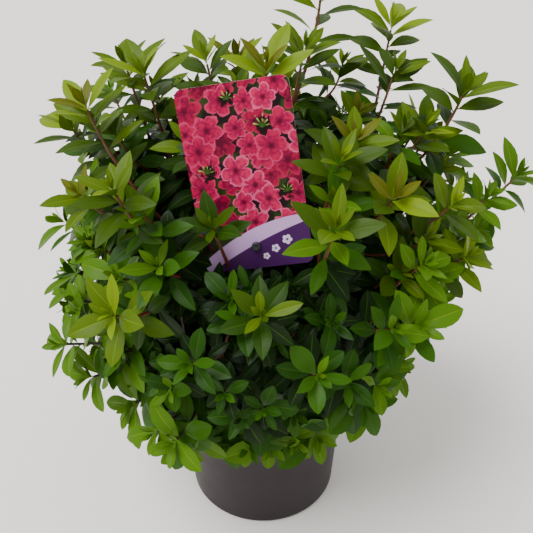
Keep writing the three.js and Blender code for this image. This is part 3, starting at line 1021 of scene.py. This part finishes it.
def partCurve(curve, start, end):
    first = onCurve(curve, start)
    last = onCurve(curve, end)
    middle = onCurve(curve, (start + end) / 2)
    return (first, middle * 2 - (first + last) / 2, last)


for shoot in grownShoots:
    start = fine["sideRadius"] if shoot["kind"] in ("side", "inner") else fine["mainRadius"]
    change = twigs["change"]
    waist = mixed(start, fine["tipRadius"], change)
    inner = partCurve(shoot["curve"], 0, change)
    outer = partCurve(shoot["curve"], change, 1)
    shaded = shoot["kind"] == "inner" or shoot["curve"][2].z < twigs["shadeBelow"]
    inside = twigHeaps["shade" if shaded else "brown"]
    outside = twigHeaps["shade" if shaded else "olive"]
    inside.add(*limbMesh(inner, taper(start, waist), *twigs["inner"]))
    outside.add(*limbMesh(outer, taper(waist, fine["tipRadius"]), *twigs["outer"]))
stemRadius = taper(shoots["stemRadius"], shoots["stemTipRadius"])
for mass in masses:
    twigHeaps["brown"].add(*limbMesh(stemCurve(mass), stemRadius, *twigs["stem"]))
for name, heap in twigHeaps.items():
    twigMaterial = newMaterial(f"twig_{name}", twigColours[name], 0.6)
    link(twigMaterial, noise(twigMaterial, 300) * 0.4 + 0.4, "Roughness")
    bump(twigMaterial, noise(twigMaterial, 900), 0.4, 0.0004)
    place(heap.build(f"twigs_{name}", twigMaterial), "bark", *foliageNodes)
print("twigs done")


# Bark of the trunk and the boughs

bark = {"colour": "#5a3a26", "dark": "#3f2617", "ridge": 0.07, "trunk": (24, 40), "bough": (12, 24)}


# Twisted ridges, and knots along them
def barkRough(t, turn):
    ridges = math.sin(5 * turn + 9 * t) * 0.5 + math.sin(11 * turn - 23 * t) * 0.3
    knots = math.sin(31 * t + 3 * turn) * math.sin(17 * t) * 0.4
    return bark["ridge"] * (ridges + knots)


def trunkRadius(t):
    above = t * (trunk["top"] - compostTop) / trunk["flareHeight"]
    flare = (trunk["flareRadius"] - trunk["radius"]) * math.exp(-2 * above)
    return mixed(trunk["radius"], trunk["topRadius"], t) + flare


barkMaterial = newMaterial("bark", bark["colour"], 0.85)
barkTone = noise(barkMaterial, 130, 6).ramp(0.35, 0.65)
link(barkMaterial, barkTone.colour(linear(bark["dark"]), linear(bark["colour"])), "Base Color")
bump(barkMaterial, noise(barkMaterial, 240), 0.5, 0.0006)
barkHeap = Heap()
barkHeap.add(*limbMesh(trunkLine, trunkRadius, *bark["trunk"], barkRough))
boughRadius = taper(bough["rootRadius"], bough["tipRadius"])
for mass in masses:
    barkHeap.add(*limbMesh(mass["curve"], boughRadius, *bark["bough"], barkRough))
boughNodes = [f"bough_{name}" for name in massNames]
place(barkHeap.build("bark", barkMaterial), "bark", "trunk", *boughNodes)
print("bark done")


# Pot and compost

def roundedCorner(centre, radius, fromAngle, toAngle, steps=5):
    angles = [math.radians(mixed(fromAngle, toAngle, i / steps)) for i in range(steps + 1)]
    return [(centre[0] + radius * math.cos(a), centre[1] + radius * math.sin(a)) for a in angles]


# Up the outside from the middle of the foot, over the lip and down the inside; the small
# amounts soften the edges
def potProfile():
    wall = pot["wall"]
    foot = pot["footRound"]
    lip = pot["lip"]
    profile = [(0, 0), (pot["footRadius"] - foot - 0.002, 0)]
    profile += roundedCorner((pot["footRadius"] - foot, foot), foot, -78, 0)
    profile += [
        (pot["shoulderRadius"] - 0.0001, pot["shoulderHeight"] - 0.002),
        (pot["shoulderRadius"] + 0.0009, pot["shoulderHeight"] + 0.0015),
        (pot["collarRadius"] - 0.0012, pot["collarHeight"] - 0.0022),
        (pot["collarRadius"], pot["collarHeight"]),
        (pot["collarRadius"] + 0.0003, pot["height"] - 0.004),
    ]
    profile += roundedCorner((pot["collarRadius"] - lip + 0.0004, pot["height"] - lip), lip, 0, 90)
    profile += roundedCorner((pot["collarRadius"] - wall + lip, pot["height"] - lip), lip, 90, 180)
    profile += [
        (pot["collarRadius"] - wall, pot["collarHeight"] + 0.002),
        (pot["shoulderRadius"] - wall, pot["shoulderHeight"] + 0.002),
        (pot["footRadius"] - wall, foot + pot["floor"]),
        (pot["footRadius"] - wall - foot, pot["floor"]),
        (0, pot["floor"]),
    ]
    return profile


potMaterial = newMaterial("pot", pot["colour"], 0.5, Specular_IOR_Level=0.24)
link(potMaterial, noise(potMaterial, 45) * 0.16 + 0.42, "Roughness")
bump(potMaterial, noise(potMaterial, 900), 0.12, 0.0003)
place(latheObject("pot_body", potProfile(), pot["facets"], potMaterial), "pot", "pot")

compost = {
    "radius": 0.0815,
    "rings": 30,
    "spokes": 120,
    "low": 0.0004,
    "high": 0.0026,
    "crumbs": 700,
    "crumbHeight": 0.0022,
    "crumbSize": (0.0008, 0.0028),
    "seed": 77,
    "dark": "#140c08",
    "light": "#4a3524",
    "flat": "#2b1c12",
}


# The compost's uneven top, and the crumbs of bark and peat that lie on it
def compostHeap():
    stream = seeded(compost["seed"])
    heap = Heap()
    spokes = compost["spokes"]
    vertices = []
    for i in range(1, compost["rings"] + 1):
        radius = compost["radius"] * i / compost["rings"]
        for k in range(spokes):
            height = compostTop + between(stream, compost["low"], compost["high"])
            vertices.append(pointAt(radius, 2 * math.pi * (k + 0.5 * (i % 2)) / spokes, height))
    faces = []
    for i in range(compost["rings"] - 1):
        for k in range(spokes):
            n = (k + 1) % spokes
            a = i * spokes
            b = a + spokes
            faces += [(a + k, b + k, b + n), (a + k, b + n, a + n)]
    heap.add(vertices, faces)
    around = [Vector((1, 0, 0)), Vector((0, 1, 0)), Vector((-1, 0, 0)), Vector((0, -1, 0))]
    crumbCorners = around + [up, -up]
    crumbFaces = [(k, (k + 1) % 4, 4) for k in range(4)] + [((k + 1) % 4, k, 5) for k in range(4)]
    for _ in range(compost["crumbs"]):
        radius = compost["radius"] * 0.96 * math.sqrt(between(stream, 0.03, 1))
        azimuth = between(stream, 0, 2 * math.pi)
        centre = pointAt(radius, azimuth, compostTop + compost["crumbHeight"])
        size = between(stream, *compost["crumbSize"])
        crumb = [centre + corner * (size * between(stream, 0.5, 1.3)) for corner in crumbCorners]
        heap.add(crumb, crumbFaces)
    return heap


compostMaterial = newMaterial("compost", compost["flat"], 0.95)
compostTone = noise(compostMaterial, 260, 6).ramp(0.38, 0.66)
compostColour = compostTone.colour(linear(compost["dark"]), linear(compost["light"]))
link(compostMaterial, compostColour, "Base Color")
bump(compostMaterial, noise(compostMaterial, 700), 0.8, 0.001)
place(compostHeap().build("compost_top", compostMaterial, smooth=False), "compost")
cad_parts["compost"].material_slots[0].material = compostMaterial
print("pot done")


# The picture label

def cardOutline(width, height, corner):
    points = []
    for x, z, start in ((1, -1, -90), (1, 1, 0), (-1, 1, 90), (-1, -1, 180)):
        centre = (x * (width / 2 - corner), z * (height / 2 - corner))
        points += roundedCorner(centre, corner, start, start + 90, 8)
    return points


def slab(name, outline, front, back, material):
    count = len(outline)
    vertices = [(x, front, z) for x, z in outline] + [(x, back, z) for x, z in outline]
    faces = [tuple(range(count)), tuple(reversed(range(count, 2 * count)))]
    faces += [(k, k + count, (k + 1) % count + count, (k + 1) % count) for k in range(count)]
    obj = meshObject(name, vertices, faces, material, smooth=False)
    obj.matrix_world = cardFrame
    return obj


blossom = {
    "seed": 321,
    "columns": 5,
    "rows": 8,
    "radius": 0.0112,
    "uneven": (0.78, 1.2),
    "jitter": 0.0045,
    "top": 0.5,
    "span": 0.84,
    "notch": 0.55,
    "eye": "#4c0220",
}
# Each blossom's colour in its folds, on its petals and along their rims
blossomHues = (
    ("#4c0220", "#80082f", "#900f3a"),
    ("#6c0430", "#980a34", "#a41e46"),
    ("#800638", "#aa1040", "#ba325e"),
    ("#900a40", "#b81e4c", "#ca527c"),
)
# Green buds in the picture, and small pale blossoms below it: across, height, radius
budSpots = (
    (0.018, 0.036, 0.0075),
    (-0.027, 0.008, 0.007),
    (0.029, -0.012, 0.0065),
    (-0.004, 0.058, 0.006),
)
badges = ((0.0065, -0.0598, 0.0027), (0.0142, -0.0545, 0.0033), (0.0236, -0.0487, 0.0039))
labelHues = {
    "shade": "#160d0d",
    "leaf": "#26380f",
    "blush": "#4a0f28",
    "budShade": "#160a08",
    "budFoot": "#2f4d14",
    "budTip": "#86a84e",
    "lilac": "#bc98c6",
    "purple": "#421c50",
    "badgeEye": "#6a4488",
    "badge": "#d6c6dc",
    "flat": "#3a2a28",
}


def blossomSpots():
    stream = seeded(blossom["seed"])
    spots = []
    for row in range(blossom["rows"]):
        for column in range(blossom["columns"]):
            step = card["width"] / (blossom["columns"] - 0.5)
            across = (column + 0.5 * (row % 2) - blossom["columns"] / 2 + 0.25) * step
            height = card["height"] * (blossom["top"] - row / blossom["rows"] * blossom["span"])
            spots.append({
                "x": across + jitter(stream, 1) * blossom["jitter"],
                "z": height + jitter(stream, 1) * blossom["jitter"],
                "radius": blossom["radius"] * between(stream, *blossom["uneven"]),
                "turn": between(stream, 0, 2 * math.pi),
                "tone": next(stream),
            })
    return sorted(spots, key=lambda spot: spot["tone"])


# How a point of the print lies to a round spot: its distance from the centre and its height
# above it, as shares of the radius, and 1 along a petal down to 0 between two petals. A spot
# has twice as many petals as folds.
def aroundSpot(x, z, spot, folds, turn=0):
    across, height, radius = spot
    dx = x - across
    dz = z - height
    away = (dx * dx + dz * dz) ** 0.5 / radius
    angle = dz.math("ARCTAN2", dz, dx) * folds + turn
    return away, dz / radius, abs(angle.math("COSINE", angle))


def withBlossom(picture, x, z, spot, ripple, folds):
    petalDisc = (spot["x"], spot["z"], spot["radius"])
    away, _, petals = aroundSpot(x, z, petalDisc, 2.5, spot["turn"])
    edge = petals ** blossom["notch"] * 0.46 + 0.54 + (ripple - 0.5) * 0.7
    shade = petals * 0.3 + away * 0.25 + (folds - 0.5) * 1.5 + (ripple - 0.5) * 1.2 + 0.1
    hues = [linear(hue) for hue in blossomHues[int(spot["tone"] * len(blossomHues))]]
    petal = shade.ramp(0.15, 0.8).colour(hues[0], hues[1])
    petal = (edge - away).ramp(0.2, 0.02).colour(petal, hues[2])
    petal = away.ramp(0.04, 0.34).colour(linear(blossom["eye"]), petal)
    return (away - edge).ramp(0.04, -0.04).colour(picture, petal)


def withBud(picture, x, z, spot, ripple, folds):
    away, above, petals = aroundSpot(x, z, spot, 4.5)
    spikes = petals**3 * (folds * 2.4 - 0.4) * above.ramp(-0.3, 0.1)
    green = away.ramp(0.2, 0.9).colour(linear(labelHues["budFoot"]), linear(labelHues["budTip"]))
    around = (away + ripple * 2.6 - 2.1).ramp(0.2, -0.2)
    picture = around.colour(picture, linear(labelHues["budShade"]))
    return (away - spikes * 0.85 - 0.12).ramp(0.06, -0.06).colour(picture, green)


def withBadge(picture, x, z, spot):
    away, _, petals = aroundSpot(x, z, spot, 2.5, 0.4)
    badge = away.ramp(0.2, 0.34).colour(linear(labelHues["badgeEye"]), linear(labelHues["badge"]))
    cover = (away - petals ** blossom["notch"] * 0.42 - 0.56).ramp(0.06, -0.06)
    return cover.colour(picture, badge)


# Blossoms and buds over dark leaves, and two curved bands below them
def printMaterial():
    material = newMaterial("label_print", labelHues["flat"], 0.3, Specular_IOR_Level=0.12)
    tree = material.node_tree
    where = {"Vector": objectCoordinate(material)}
    x = shaderNode(tree, "ShaderNodeSeparateXYZ", {}, where, "X")
    z = shaderNode(tree, "ShaderNodeSeparateXYZ", {}, where, "Z")
    ripple = noise(material, 190, 4)
    folds = noise(material, 420, 2)
    leaves = noise(material, 60, 3).ramp(0.42, 0.6)
    picture = leaves.colour(linear(labelHues["shade"]), linear(labelHues["leaf"]))
    picture = ripple.ramp(0.55, 0.7).colour(picture, linear(labelHues["blush"]))
    for spot in blossomSpots():
        picture = withBlossom(picture, x, z, spot, ripple, folds)
    for spot in budSpots:
        picture = withBud(picture, x, z, spot, ripple, folds)
    lilacEdge = z + x * -0.35 + x * x * 4.5 + 0.0375
    picture = lilacEdge.ramp(0.0003, -0.0003).colour(picture, linear(labelHues["lilac"]))
    purpleEdge = z + x * -0.42 + x * x * 2.0 + 0.0495
    picture = purpleEdge.ramp(0.0003, -0.0003).colour(picture, linear(labelHues["purple"]))
    for spot in badges:
        picture = withBadge(picture, x, z, spot)
    link(material, picture, "Base Color")
    return material


cardMaterial = newMaterial("label_card", card["colour"], 0.3)
link(cardMaterial, noise(cardMaterial, 120) * 0.2 + 0.22, "Roughness")
bump(cardMaterial, noise(cardMaterial, 900), 0.08, 0.0002)
front = -card["thickness"] / 2
inkBack = front + card["ink"]
outline = cardOutline(card["width"], card["height"], card["corner"])
place(slab("label_card_body", outline, inkBack, -front, cardMaterial), "card", "label_card")
place(slab("label_print", outline, front, inkBack, printMaterial()), "card", "label_card")

# The peg's domed head, and the stake behind it
peg = {
    "radius": 0.0036,
    "height": 0.0018,
    "edge": 0.0012,
    "dimple": 0.0004,
    "shank": 0.0015,
    "back": 0.0042,
    "facets": 48,
    "colour": "#202427",
}


def pegProfile():
    edge = peg["edge"]
    floor = peg["height"] - peg["dimple"]
    back = -peg["back"]
    profile = [(0, back), (peg["shank"], back), (peg["shank"], 0), (peg["radius"], 0)]
    profile += roundedCorner((peg["radius"] - edge, peg["height"] - edge), edge, 0, 75)
    profile += [(peg["radius"] * 0.42, peg["height"]), (peg["radius"] * 0.32, floor), (0, floor)]
    return profile


pegMaterial = newMaterial("peg", peg["colour"], 0.42)
bump(pegMaterial, noise(pegMaterial, 1500), 0.15, 0.0002)
head = latheObject("peg_head", pegProfile(), peg["facets"], pegMaterial)
seatPlace = Vector((0, front - seat, -card["pegDrop"]))
head.matrix_world = cardFrame @ Matrix.Translation(seatPlace) @ Matrix.Rotation(math.pi / 2, 4, "X")
place(head, "peg", "label_peg")
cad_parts["label_stake"].material_slots[0].material = pegMaterial
print("label done")
